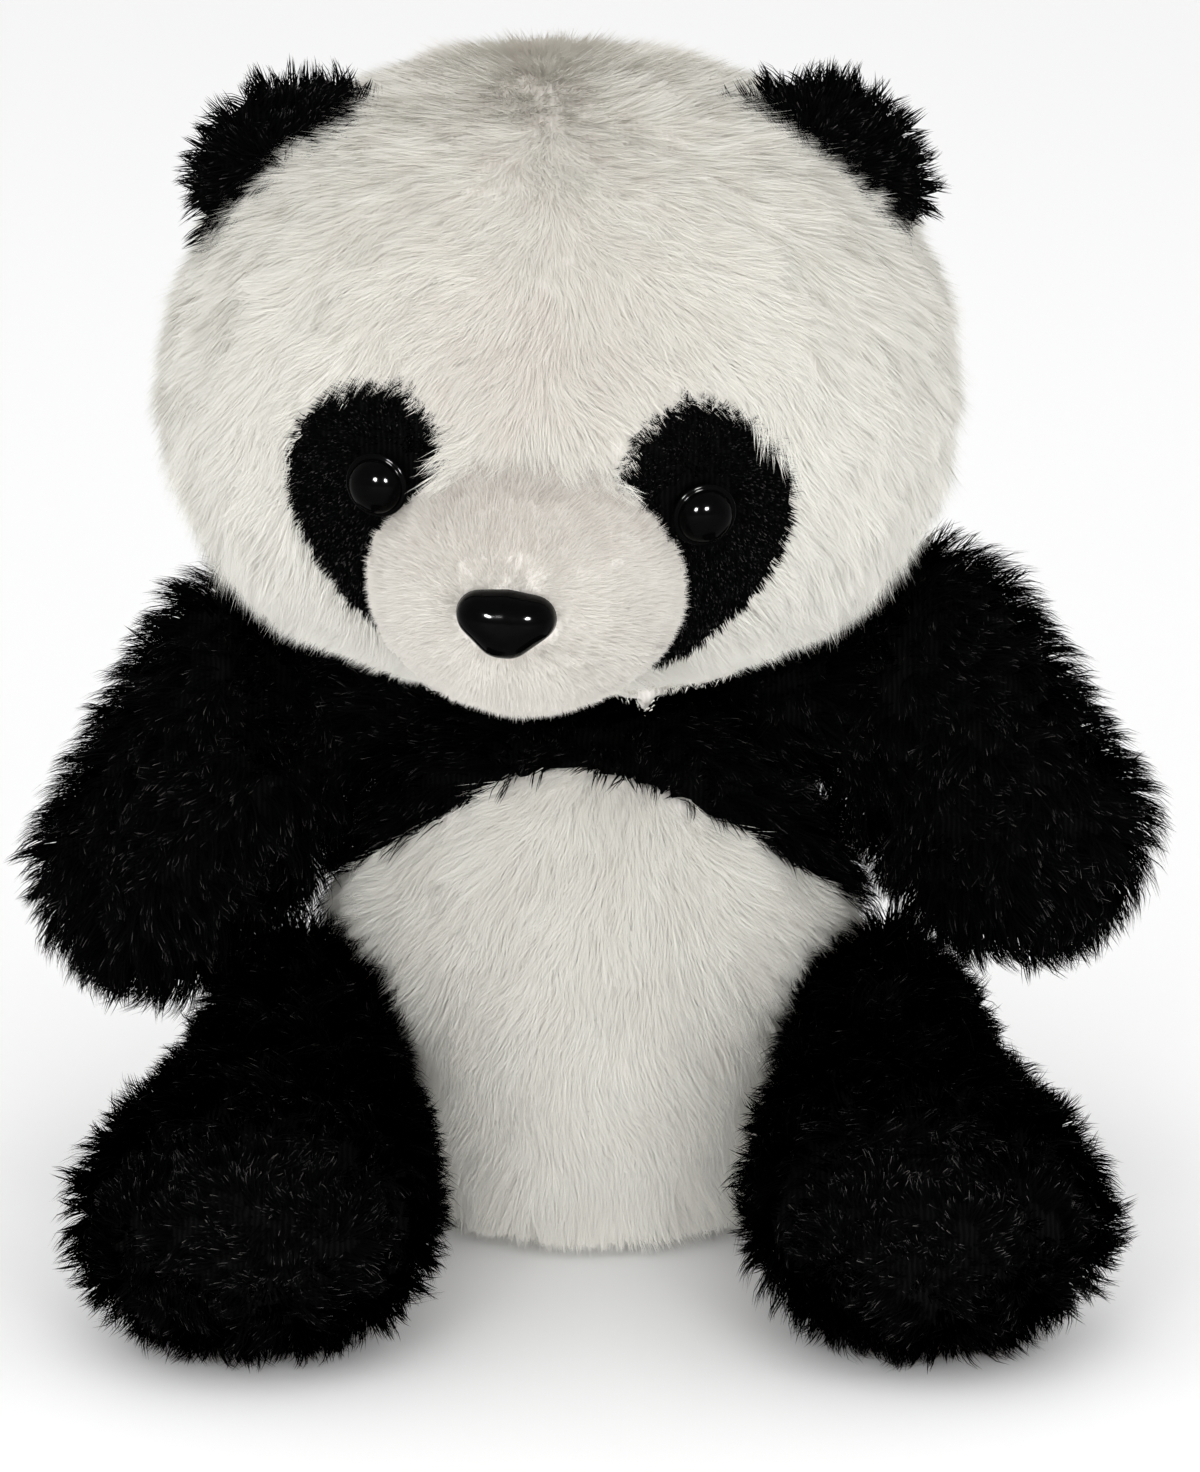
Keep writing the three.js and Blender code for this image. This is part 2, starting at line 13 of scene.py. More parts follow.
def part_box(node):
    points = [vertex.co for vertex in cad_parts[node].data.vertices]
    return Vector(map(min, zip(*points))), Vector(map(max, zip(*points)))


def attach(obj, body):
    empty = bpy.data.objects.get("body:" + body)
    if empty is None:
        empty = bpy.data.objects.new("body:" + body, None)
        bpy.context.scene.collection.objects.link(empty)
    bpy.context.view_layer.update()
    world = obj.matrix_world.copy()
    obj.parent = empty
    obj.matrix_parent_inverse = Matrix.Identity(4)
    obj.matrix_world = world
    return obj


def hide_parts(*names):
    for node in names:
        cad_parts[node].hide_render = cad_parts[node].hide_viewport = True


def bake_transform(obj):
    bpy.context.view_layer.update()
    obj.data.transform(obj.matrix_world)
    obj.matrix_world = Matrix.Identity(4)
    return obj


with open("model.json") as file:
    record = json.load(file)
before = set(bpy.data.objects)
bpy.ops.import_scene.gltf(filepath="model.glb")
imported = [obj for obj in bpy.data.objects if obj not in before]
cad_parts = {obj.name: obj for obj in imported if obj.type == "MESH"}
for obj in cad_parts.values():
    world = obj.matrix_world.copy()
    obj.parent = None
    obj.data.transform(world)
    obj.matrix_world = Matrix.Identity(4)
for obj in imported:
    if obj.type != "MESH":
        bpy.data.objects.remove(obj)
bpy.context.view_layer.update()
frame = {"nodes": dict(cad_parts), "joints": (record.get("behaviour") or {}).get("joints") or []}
scene = bpy.context.scene
CAD = frame["nodes"]
JOINT = {j["name"]: np.array(j["pos_m"]) for j in frame["joints"]}
MM = 0.001
SIDES = ("left", "right")


# ---------------------------------------------------------------- camera

LENS = 150.0
SENSOR = 36.0
VIEW_HEIGHT = 0.2061
ELEVATION = math.radians(15)
AIM = Vector((0.0010, -0.025, 0.0754))

camera = bpy.data.objects.new("camera", bpy.data.cameras.new("camera"))
scene.collection.objects.link(camera)
camera.data.lens = LENS
camera.data.sensor_width = SENSOR
back = Vector((0, -math.cos(ELEVATION), math.sin(ELEVATION)))
camera.location = AIM + back * (VIEW_HEIGHT * LENS / SENSOR)
camera.rotation_mode = "QUATERNION"
camera.rotation_quaternion = (-back).to_track_quat("-Z", "Y")
camera.data.clip_start = 0.01
camera.data.clip_end = 20
scene.camera = camera


# ---------------------------------------------------------------- materials

def new_material(name):
    material = bpy.data.materials.new(name)
    material.use_nodes = True
    nodes, links = material.node_tree.nodes, material.node_tree.links
    return material, nodes, links, nodes["Principled BSDF"]


def ramp(nodes, stops):
    node = nodes.new("ShaderNodeValToRGB")
    elements = node.color_ramp.elements
    while len(elements) < len(stops):
        elements.new(0.5)
    for element, (place, colour) in zip(elements, stops):
        element.position = place
        element.color = (*colour, 1)
    return node


def mixed(nodes, links, kind, factor, a, b):
    node = nodes.new("ShaderNodeMix")
    node.data_type = "RGBA"
    node.blend_type = kind
    for socket, value in ((0, factor), (6, a), (7, b)):
        if hasattr(value, "is_linked"):
            links.new(value, node.inputs[socket])
        elif isinstance(value, tuple):
            node.inputs[socket].default_value = (*value, 1)
        else:
            node.inputs[socket].default_value = value
    return node.outputs[2]


def pile_material(name, tones, root_shade, roughness, specular, sheen, sheen_tint):
    """Fibre colour from each strand's own UV: tone across, root to tip along, with root_shade darkening the
    roots as painted shade deep in the pile.
    """
    material, nodes, links, shader = new_material(name)
    uv = nodes.new("ShaderNodeUVMap")
    uv.uv_map = "OFBake"
    parts = nodes.new("ShaderNodeSeparateXYZ")
    links.new(uv.outputs[0], parts.inputs[0])
    tone = ramp(nodes, tones)
    links.new(parts.outputs[0], tone.inputs[0])
    # Painted shade: roots darker than tips, standing in for the shadow deep in the pile.
    along = ramp(nodes, ((0, (root_shade,) * 3), (0.55, (0.5 + root_shade / 2,) * 3), (1, (1, 1, 1))))
    links.new(parts.outputs[1], along.inputs[0])
    colour = mixed(nodes, links, "MULTIPLY", 1.0, tone.outputs[0], along.outputs[0])
    links.new(colour, shader.inputs["Base Color"])
    shader.inputs["Roughness"].default_value = roughness
    shader.inputs["Specular IOR Level"].default_value = specular
    shader.inputs["Sheen Weight"].default_value = sheen
    shader.inputs["Sheen Roughness"].default_value = 0.5
    shader.inputs["Sheen Tint"].default_value = (*sheen_tint, 1)
    return material


def cloth_material(name, light, dark, roughness):
    """Knitted backing: fine rows of stitches with soft variation."""
    material, nodes, links, shader = new_material(name)
    place = nodes.new("ShaderNodeTexCoord")
    rows = nodes.new("ShaderNodeTexWave")
    rows.inputs["Scale"].default_value = 420
    rows.inputs["Distortion"].default_value = 3
    rows.inputs["Detail"].default_value = 2
    cloud = nodes.new("ShaderNodeTexNoise")
    cloud.inputs["Scale"].default_value = 160
    cloud.inputs["Detail"].default_value = 5
    for node in (rows, cloud):
        links.new(place.outputs["Object"], node.inputs["Vector"])
    blend = mixed(nodes, links, "MIX", 0.5, rows.outputs["Color"], cloud.outputs[0])
    colour = ramp(nodes, ((0.3, dark), (0.7, light)))
    links.new(blend, colour.inputs[0])
    links.new(colour.outputs[0], shader.inputs["Base Color"])
    bump = nodes.new("ShaderNodeBump")
    bump.inputs["Strength"].default_value = 0.3
    bump.inputs["Distance"].default_value = 0.0003
    links.new(blend, bump.inputs["Height"])
    links.new(bump.outputs[0], shader.inputs["Normal"])
    shader.inputs["Roughness"].default_value = roughness
    shader.inputs["Specular IOR Level"].default_value = 0.0
    return material


def moulded_material(name, colour, roughness, grain, specular):
    """Injection-moulded plastic: even colour with faint handling marks in the gloss."""
    material, nodes, links, shader = new_material(name)
    place = nodes.new("ShaderNodeTexCoord")
    marks = nodes.new("ShaderNodeTexNoise")
    marks.inputs["Scale"].default_value = 700
    marks.inputs["Detail"].default_value = 6
    links.new(place.outputs["Object"], marks.inputs["Vector"])
    tint = ramp(nodes, ((0.35, tuple(0.8 * c for c in colour)), (0.65, tuple(1.15 * c for c in colour))))
    links.new(marks.outputs[0], tint.inputs[0])
    links.new(tint.outputs[0], shader.inputs["Base Color"])
    gloss = nodes.new("ShaderNodeMapRange")
    gloss.inputs["To Min"].default_value = roughness
    gloss.inputs["To Max"].default_value = roughness + grain
    links.new(marks.outputs[0], gloss.inputs["Value"])
    links.new(gloss.outputs[0], shader.inputs["Roughness"])
    shader.inputs["Specular IOR Level"].default_value = specular
    return material


# Strand tones across u, from dark to light; root_shade darkens each strand towards its root as painted shade
# deep in the pile. The bright last stretch of the black tones is a painted highlight on the tips of a few
# fibres.
WHITE_TONES = (
    (0, (0.46, 0.405, 0.36)),
    (0.4, (0.62, 0.57, 0.52)),
    (0.7, (0.74, 0.71, 0.655)),
    (1, (0.80, 0.79, 0.735)),
)
CREAM_TONES = ((0, (0.46, 0.41, 0.37)), (0.4, (0.64, 0.60, 0.55)), (1, (0.78, 0.755, 0.70)))
BLACK_TONES = (
    (0, (0.0008, 0.0008, 0.0008)),
    (0.85, (0.003, 0.003, 0.0033)),
    (0.93, (0.12, 0.112, 0.11)),
    (1, (0.5, 0.47, 0.45)),
)

PILE = {
    "white_plush": pile_material("white_pile", WHITE_TONES, 0.94, 0.9, 0.0, 0.2, (1, 0.98, 0.95)),
    "muzzle_plush": pile_material("muzzle_pile", CREAM_TONES, 0.9, 0.9, 0.0, 0.2, (1, 0.98, 0.95)),
    "black_plush": pile_material("black_pile", BLACK_TONES, 0.5, 0.8, 0.0, 0.0, (1, 1, 1)),
    "black_short_plush": pile_material("black_short_pile", BLACK_TONES, 0.5, 0.8, 0.0, 0.0, (1, 1, 1)),
}
CLOTH = {
    "white_plush": cloth_material("white_backing", (0.76, 0.73, 0.69), (0.70, 0.67, 0.63), 0.95),
    "muzzle_plush": cloth_material("muzzle_backing", (0.76, 0.73, 0.69), (0.72, 0.69, 0.65), 0.95),
    "black_plush": cloth_material("black_backing", (0.004, 0.004, 0.004), (0.002, 0.002, 0.002), 0.9),
    "black_short_plush": cloth_material(
        "black_short_backing", (0.004, 0.004, 0.004), (0.002, 0.002, 0.002), 0.9
    ),
    "stuffing": cloth_material("polyester_fill", (0.85, 0.85, 0.82), (0.70, 0.70, 0.67), 1.0),
    "pellet_cloth": cloth_material("pellet_bag_cloth", (0.62, 0.58, 0.48), (0.48, 0.44, 0.36), 0.9),
}
GLOSS = moulded_material("black_gloss", (0.001, 0.001, 0.001), 0.07, 0.04, 0.02)
WASHER = moulded_material("washer_plastic", (0.68, 0.68, 0.64), 0.45, 0.15, 0.3)


# ---------------------------------------------------------------- meshes

def make_mesh(name, points, triangles):
    mesh = bpy.data.meshes.new(name)
    mesh.vertices.add(len(points))
    mesh.vertices.foreach_set("co", np.asarray(points, np.float32).ravel())
    mesh.loops.add(3 * len(triangles))
    mesh.loops.foreach_set("vertex_index", np.asarray(triangles, np.int32).ravel())
    mesh.polygons.add(len(triangles))
    mesh.polygons.foreach_set("loop_start", np.arange(0, 3 * len(triangles), 3, dtype=np.int32))
    mesh.polygons.foreach_set("use_smooth", np.ones(len(triangles), bool))
    mesh.update(calc_edges=True)
    return mesh


def add_piece(name, mesh, material):
    piece = bpy.data.objects.new(name, mesh)
    scene.collection.objects.link(piece)
    mesh.materials.clear()
    mesh.materials.append(material)
    return piece


def arrays(mesh):
    """Points, triangles and vertex normals of a mesh."""
    points = np.empty(len(mesh.vertices) * 3, np.float32)
    mesh.vertices.foreach_get("co", points)
    normals = np.empty(len(mesh.vertices) * 3, np.float32)
    mesh.vertex_normals.foreach_get("vector", normals)
    mesh.calc_loop_triangles()
    triangles = np.empty(len(mesh.loop_triangles) * 3, np.int32)
    mesh.loop_triangles.foreach_get("vertices", triangles)
    points, normals = (values.reshape(-1, 3).astype(float) for values in (points, normals))
    return points, triangles.reshape(-1, 3), normals


def joined(names):
    points, triangles, count = [], [], 0
    for name in names:
        co, tri, _ = arrays(CAD[name].data)
        points.append(co)
        triangles.append(tri + count)
        count += len(co)
    return np.concatenate(points), np.concatenate(triangles)


def evaluated(mesh, *modifiers):
    """The mesh after a list of (type, settings) modifiers."""
    work = bpy.data.objects.new("work", mesh)
    scene.collection.objects.link(work)
    for kind, settings in modifiers:
        modifier = work.modifiers.new(kind, kind)
        for key, value in settings.items():
            setattr(modifier, key, value)
    graph = bpy.context.evaluated_depsgraph_get()
    made = bpy.data.meshes.new_from_object(work.evaluated_get(graph))
    bpy.data.objects.remove(work)
    return made


def unit(v):
    return v / np.maximum(np.linalg.norm(v, axis=-1, keepdims=True), 1e-12)


def ball(centre, radii, turn_y=0.0):
    """Points and triangles of a closed egg, turned about Y."""
    around, rings = 24, 12
    turn = np.linspace(0, 2 * math.pi, around, endpoint=False)
    rise = np.linspace(-math.pi / 2, math.pi / 2, rings + 2)[1:-1]
    body = [(math.cos(a) * math.cos(t), math.cos(a) * math.sin(t), math.sin(a)) for a in rise for t in turn]
    points = np.array([(0, 0, -1), *body, (0, 0, 1)]) * np.array(radii)
    c, s = math.cos(turn_y), math.sin(turn_y)
    points = points @ np.array([(c, 0, -s), (0, 1, 0), (s, 0, c)]) + np.array(centre)
    tri, top = [], len(points) - 1
    for j in range(around):
        k = (j + 1) % around
        tri.append((0, 1 + k, 1 + j))
        tri.append((top, top - around + j, top - around + k))
        for i in range(rings - 1):
            a, b = 1 + i * around + j, 1 + i * around + k
            tri += [(a, b, b + around), (a, b + around, a + around)]
    return points, np.array(tri)


def solid_skin(names, voxel, rounds, *extra):
    """One smooth closed surface round CAD nodes and extra closed forms."""
    points, triangles = joined(names)
    for more, faces in extra:
        triangles = np.concatenate([triangles, faces + len(points)])
        points = np.concatenate([points, more])
    return evaluated(
        make_mesh("skin", points, triangles),
        ("REMESH", {"mode": "VOXEL", "voxel_size": voxel}),
        ("SMOOTH", {"factor": 0.5, "iterations": rounds}),
    )


# ---------------------------------------------------------------- pile

def towards(vector):
    fixed = np.array(vector, float)
    return lambda p: np.broadcast_to(fixed, p.shape)


def away_from(point, extra=(0, 0, 0)):
    centre, add = np.array(point, float), np.array(extra, float)
    return lambda p: unit(p - centre) + add


def along_line(line):
    """The direction of the nearest stretch of a line of points."""
    line = np.array(line, float)
    steps = unit(line[1:] - line[:-1])
    middles = (line[1:] + line[:-1]) / 2

    def flow(p):
        weights = np.exp(-(np.linalg.norm(p[:, None] - middles[None], axis=2) / 0.012) ** 2) + 1e-9
        return unit((weights[:, :, None] * steps[None]).sum(1))
    return flow


def wander(p, seed, wave):
    """A smooth random field, about one wave long in metres and mostly within one either way."""
    rng = np.random.default_rng(seed)
    ways = unit(rng.normal(0, 1, (5, 3))) * (2 * math.pi / wave) * rng.uniform(0.6, 1.5, (5, 1))
    return np.sin(p @ ways.T + rng.uniform(0, 6.28, 5)).sum(1) / 1.6


def sample_surface(points, triangles, normals, count, rng):
    corners = points[triangles]
    area = np.linalg.norm(np.cross(corners[:, 1] - corners[:, 0], corners[:, 2] - corners[:, 0]), axis=1)
    chosen = rng.choice(len(triangles), count, p=area / area.sum())
    a, b = rng.random(count), rng.random(count)
    flip = a + b > 1
    a[flip], b[flip] = 1 - a[flip], 1 - b[flip]
    weights = np.stack([1 - a - b, a, b], 1)[:, :, None]
    return (corners[chosen] * weights).sum(1), unit((normals[triangles[chosen]] * weights).sum(1))


def area_of(points, triangles):
    c = points[triangles]
    return np.linalg.norm(np.cross(c[:, 1] - c[:, 0], c[:, 2] - c[:, 0]), axis=1).sum() / 2


def grow_strands(centres, normals, flow, spec, tone, shorten, rng):
    """Arrays of a pile: several strands round each tuft centre, pulled together at their tips."""
    per = spec["per_tuft"]
    count = len(centres) * per
    heading = flow(centres)
    heading = unit(heading - normals * (heading * normals).sum(1, keepdims=True) + 1e-6)
    across = np.cross(normals, heading)
    swing = rng.normal(0, spec["stray"], len(centres)) + spec["swirl"] * wander(centres, 7, 14 * MM)
    swing = swing[:, None]
    heading = heading * np.cos(swing) + across * np.sin(swing)
    across = np.cross(normals, heading)
    length = spec["length"] * shorten * rng.uniform(0.75, 1.15, len(centres))
    lift = np.radians(spec["lift"]) * rng.uniform(0.8, 1.2, len(centres))

    def spread(values):
        return np.repeat(values, per, axis=0)

    n, t, s = spread(normals), spread(heading), spread(across)
    own = spread(length) * rng.uniform(0.7, 1.1, count)
    rise = spread(lift) + rng.normal(0, 0.10, count)
    veer = rng.normal(0, 0.16, count)[:, None]
    way = t * np.cos(veer) + s * np.sin(veer)
    angle, radius = rng.uniform(0, 2 * math.pi, count), spec["tuft"] * np.sqrt(rng.random(count))
    beside = (t * np.cos(angle)[:, None] + s * np.sin(angle)[:, None]) * radius[:, None]
    root = spread(centres) + beside - n * spec["sink"]
    tip_height = (length * np.sin(lift))[:, None]
    tip_reach = (length * np.cos(lift))[:, None]
    tuft_tip = spread(centres + normals * tip_height + heading * tip_reach)
    steps = spec["steps"]
    spots = []
    for k in range(steps + 1):
        f = k / steps
        up = own * np.sin(rise) * (1 - (1 - f) ** 1.8)
        out = own * np.cos(rise) * f ** 1.35
        free = root + n * up[:, None] + way * out[:, None]
        pull = spec["pull"] * f ** 1.5
        bow = n * (0.12 * own * math.sin(math.pi * f))[:, None]
        gathered = root * (1 - f) + tuft_tip * f + bow
        spots.append(free * (1 - pull) + gathered * pull)
    spots = np.stack(spots, 1)
    spots[:, :, 2] = np.maximum(spots[:, :, 2], 0.0004)
    direction = unit(spots[:, -1] - spots[:, 0])
    side = unit(np.cross(direction, n) + 1e-9)
    face = np.cross(side, direction)
    twist = rng.uniform(-0.7, 0.7, count)[:, None]
    side = side * np.cos(twist) + face * np.sin(twist)
    half = spec["width"] / 2 * rng.uniform(0.7, 1.3, count)
    rows, v_place = [], []
    for k in range(steps):
        taper = 1.0 - 0.75 * (k / steps) ** 1.5
        offset = side * (half * taper)[:, None]
        rows += [spots[:, k] - offset, spots[:, k] + offset]
        v_place += [k / steps, k / steps]
    rows.append(spots[:, -1])
    v_place.append(1.0)
    verts = np.stack(rows, 1)
    per_strand = verts.shape[1]
    pattern = []
    for k in range(steps - 1):
        a, b, c, d = 2 * k, 2 * k + 1, 2 * k + 2, 2 * k + 3
        pattern += [(a, b, d), (a, d, c)]
    pattern.append((2 * steps - 2, 2 * steps - 1, 2 * steps))
    tri = (np.arange(count)[:, None, None] * per_strand + np.array(pattern)[None]).reshape(-1, 3)
    shade = unit(n * 0.8 + np.cross(side, direction) * 0.35 + rng.normal(0, 0.12, (count, 3)))
    shade = np.repeat(shade, per_strand, axis=0)
    base = tone(centres)
    uneven = 1 + 4 * np.clip(0.9 - base, 0, 0.5)
    u = spread(base + rng.normal(0, spec["tuft_tone"], len(centres)) * uneven)
    u = u + rng.normal(0, spec["tone"], count) * spread(uneven)
    # Painted highlight: the glint share of strands gets a bright tip that stands in for the shine of a
    # fibre, and about a third more get a dim grey tip; below the tip these strands stay black.
    if "glint" in spec:
        draw = rng.random(count)
        u = np.where(draw < spec["glint"], rng.uniform(0.93, 1.0, count), np.clip(u, 0, 0.8))
        u = np.where(draw > 0.65, rng.uniform(0.85, 0.92, count), u)
    u = np.clip(u, 0.01, 0.99)
    u_all = np.repeat(u, per_strand) + np.tile([0.002 * (k % 2) for k in range(per_strand)], count)
    if "glint" in spec:
        below_tip = np.tile(np.arange(per_strand) < per_strand - 1, count)
        u_all[below_tip] = np.minimum(u_all[below_tip], 0.78)
    v_all = np.tile(v_place, count)
    return verts.reshape(-1, 3), tri, shade, np.stack([u_all, v_all], 1)


def pile_mesh(name, verts, tri, shade, uv):
    mesh = make_mesh(name, verts, tri)
    layer = mesh.uv_layers.new(name="OFBake")
    layer.uv.foreach_set("vector", uv[tri.ravel()].astype(np.float32).ravel())
    attribute = mesh.attributes.new("custom_normal", "FLOAT_VECTOR", "POINT")
    attribute.data.foreach_set("vector", shade.astype(np.float32).ravel())
    mesh.update()
    return mesh


# ---------------------------------------------------------------- what each cover looks like

# A pile's terms: lift in degrees off the cloth, steps along a strand, density in strands per square
# millimetre, per_tuft strands in a tuft of radius tuft, pull of the strands to the tuft's tip, sink of the
# root into the cloth, stray and swirl of the heading in radians, tuft_tone and tone for the spread of colour
# between tufts and between strands, and glint for the share of strands with a bright tip, a painted
# highlight.
LONG = {
    "length": 6.2 * MM, "width": 0.16 * MM, "lift": 30, "steps": 1, "density": 14.0,
    "per_tuft": 9, "tuft": 1.1 * MM, "pull": 0.3, "sink": 0.4 * MM,
    "stray": 0.18, "swirl": 0.25, "tuft_tone": 0.03, "tone": 0.03,
}
SHORT = dict(
    LONG, length=2.2 * MM, width=0.17 * MM, lift=50, density=30.0,
    per_tuft=6, tuft=0.7 * MM, pull=0.05, tuft_tone=0.035,
)
BLACK = dict(
    LONG, length=7.5 * MM, width=0.20 * MM, lift=46, steps=3, density=4.2,
    tuft=0.9 * MM, pull=0.55, stray=0.4, swirl=0.5, glint=0.08,
)
EAR_PILE = dict(BLACK, length=5.0 * MM, density=8.5, pull=0.5)
SOLE_PILE = dict(BLACK, length=4.5 * MM, lift=55, steps=2, density=6.0, pull=0.3, swirl=1.2)
BLACK_SHORT = dict(SHORT, length=1.9 * MM, lift=62, steps=2, density=15.0, glint=0.10)

HEAD_LOW, HEAD_HIGH = (np.array(c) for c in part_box("head_side_left"))
HEAD_RIGHT_HIGH = np.array(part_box("head_side_right")[1])
HEAD_CENTRE = np.array([(HEAD_LOW[0] + HEAD_RIGHT_HIGH[0]) / 2, -0.007, 0.121])


# The egg that the head turns in: its own half sizes and some room.
HEAD_MIDDLE = HEAD_CENTRE + np.array([0, 0, 1.8 * MM])
HEAD_DEPTH = 48.5 * MM
HEAD_SWING = 1.8 * MM
HEAD_ROOM = np.array([(HEAD_RIGHT_HIGH[0] - HEAD_LOW[0]) / 2, HEAD_DEPTH, HEAD_HIGH[2] - HEAD_MIDDLE[2]])
HEAD_ROOM = HEAD_ROOM + HEAD_SWING


def middle(name):
    low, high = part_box(name)
    return np.array((low + high) / 2)


NOSE_AT = middle("nose")
PARTING_X = NOSE_AT[0] + 4 * MM


def head_flow(p):
    """Combed forward along the centre seam of the crown, then out and down over the cheeks."""
    side = np.tanh((p[:, 0] - PARTING_X) / 0.006)
    down = np.clip(1.1 - (p[:, 2] - HEAD_CENTRE[2]) / 0.06, 0.4, 1.2)
    depth = np.clip((p[:, 1] - HEAD_CENTRE[1]) / 0.03, -1, 1)
    parting = np.exp(-(((p[:, 0] - PARTING_X) / 0.007) ** 2)) * np.clip((p[:, 2] - 0.13) / 0.02, 0, 1)
    return np.stack([side * 0.75, 0.35 * depth * (1 - parting) - 0.8 * parting, -0.9 * down], 1)


def head_length(p):
    """Longer over the cheeks, shorter under the chin."""
    cheek = np.clip((np.abs(p[:, 0] - HEAD_CENTRE[0]) - 0.03) / 0.02, 0, 1)
    cheek = cheek * np.clip((0.135 - p[:, 2]) / 0.03, 0, 1)
    chin = np.clip((0.094 - p[:, 2]) / 0.01, 0, 1) * np.clip((0.02 - p[:, 1]) / 0.02, 0, 1)
    throat = np.clip((0.086 - p[:, 2]) / 0.006, 0, 1) * np.clip(-p[:, 1] / 0.01, 0, 1)
    return (1 + 0.35 * cheek) * (1 - 0.45 * chin) * (1 - 0.85 * throat)


def head_tone(p):
    """Off-white cheeks, and a crown darkened towards the top, most along the middle, as painted shade of the
    top of the head. The brow band is a darker pinkish grey, and the crown is mottled where the pile parts.
    """
    high = np.clip((p[:, 2] - 0.118) / 0.042, 0, 1)
    middle_share = np.exp(-(((p[:, 0] - PARTING_X) / 0.022) ** 2))
    mottle = 0.5 * wander(p, 11, 9 * MM) + 0.5 * wander(p, 12, 4 * MM)
    brow = np.exp(-(((p[:, 2] - 0.133) / 0.014) ** 2)) * middle_share
    # The darkening with high is painted shade of the top; brow and mottle are the pile's own tint.
    return 0.95 - high * (0.02 + 0.14 * middle_share) - 0.26 * brow + 0.09 * high * mottle


def even(value):
    return lambda p: np.full(len(p), value)


def belly_tone(p):
    # Darker in the lowest 2 cm towards the floor: painted shade where the pile meets the seat; the wander
    # term is random tone.
    return 0.92 - 0.04 * np.clip((0.02 - p[:, 2]) / 0.02, 0, 1) + 0.03 * wander(p, 13, 8 * MM)


def muzzle_tone(p):
    return 0.82 - 0.45 * np.clip((p[:, 2] - 0.104) / 0.014, 0, 1) + 0.05 * wander(p, 14, 4 * MM)


def round_eye(side):
    """Away from the eye, and a little down."""
    return away_from(middle(f"eye_{side}"), (0, 0, -0.4))


def mirrored(line, side):
    sign = -1 if side == "left" else 1
    return [(sign * x * MM, y * MM, z * MM) for x, y, z in line]


# The middle lines of the right arm and leg, in millimetres, as in the CAD.
ARM_LINE = ((20, 11, 77), (36, 9, 78), (45, 6, 75.5), (52, 1, 66), (61.8, -8, 50), (68, -12, 36))
LEG_LINE = (
    (42, 10, 22), (42, -8, 22), (41.5, -30, 20.5),
    (43.5, -50, 19.3), (46, -67, 18.5), (47, -87, 18.5),
)
BELLY_TOP = (0, -0.01, 0.082)
BACK_TOP = (0, 0.03, 0.09)

COVERS = {
    "head": {
        "head_side_left": ("white_plush", LONG, head_flow, head_tone),
        "head_side_right": ("white_plush", LONG, head_flow, head_tone),
        "head_back": ("white_plush", LONG, head_flow, head_tone),
        "eye_patch_left": ("black_short_plush", BLACK_SHORT, round_eye("left"), even(0.4)),
        "eye_patch_right": ("black_short_plush", BLACK_SHORT, round_eye("right"), even(0.4)),
        "muzzle": ("muzzle_plush", SHORT, away_from(NOSE_AT + np.array([0, 0.01, 0])), muzzle_tone),
    },
    "torso": {
        "belly_left": ("white_plush", LONG, away_from(BELLY_TOP), belly_tone),
        "belly_right": ("white_plush", LONG, away_from(BELLY_TOP), belly_tone),
        "back_left": ("white_plush", LONG, away_from(BACK_TOP), belly_tone),
        "back_right": ("white_plush", LONG, away_from(BACK_TOP), belly_tone),
        "chest_yoke": ("black_plush", BLACK, away_from((0, 0, 0.1)), even(0.4)),
        "shoulder_yoke": ("black_plush", BLACK, away_from((0, 0.01, 0.1)), even(0.4)),
        "seat_panel": ("white_plush", SHORT, away_from((0, 0.004, 0)), even(0.6)),
    },
}
SOFT_INSIDE = {"head": ["head_stuffing"], "torso": ["body_stuffing", "pellet_bag"]}
for side in SIDES:
    arm = along_line(mirrored(ARM_LINE, side))
    leg = along_line(mirrored(LEG_LINE, side))
    root = JOINT[f"ear_{side}_fold"]
    COVERS[f"arm_{side}"] = {
        f"arm_{side}_front": ("black_plush", BLACK, arm, even(0.4)),
        f"arm_{side}_back": ("black_plush", BLACK, arm, even(0.4)),
    }
    SOFT_INSIDE[f"arm_{side}"] = [f"arm_{side}_stuffing"]
    COVERS[f"leg_{side}"] = {
        f"leg_{side}_inner": ("black_plush", BLACK, leg, even(0.4)),
        f"leg_{side}_outer": ("black_plush", BLACK, leg, even(0.4)),
        f"foot_sole_{side}": ("black_short_plush", SOLE_PILE, towards((0, 0.2, 1)), even(0.4)),
    }
    SOFT_INSIDE[f"leg_{side}"] = [f"leg_{side}_stuffing"]
    COVERS[f"ear_{side}"] = {
        f"ear_{side}_front": ("black_plush", EAR_PILE, away_from(root), even(0.4)),
        f"ear_{side}_back": ("black_plush", EAR_PILE, away_from(root), even(0.4)),
    }
    SOFT_INSIDE[f"ear_{side}"] = []

# How far the cloth lies inside its CAD cover, which leaves room for the pile.
INSET = {
    "white_plush": 2.2 * MM, "muzzle_plush": 1.4 * MM,
    "black_plush": 2.4 * MM, "black_short_plush": 1.8 * MM,
}
VOXEL = {"head": 1.6 * MM, "torso": 1.8 * MM, "arm": 1.8 * MM, "leg": 1.8 * MM, "ear": 1.0 * MM}
CLOTH_THICKNESS = 0.6 * MM
SHELL_VOXEL = 4 * MM
SHELL_PRESSURE = 10.0
SHELL_MASS = 0.01
SHELL_STIFFNESS = 0.05
SHELL_FRAMES = 20
PLUMP_LIMIT = 1.2 * MM
EAR_TILT = math.radians(34)


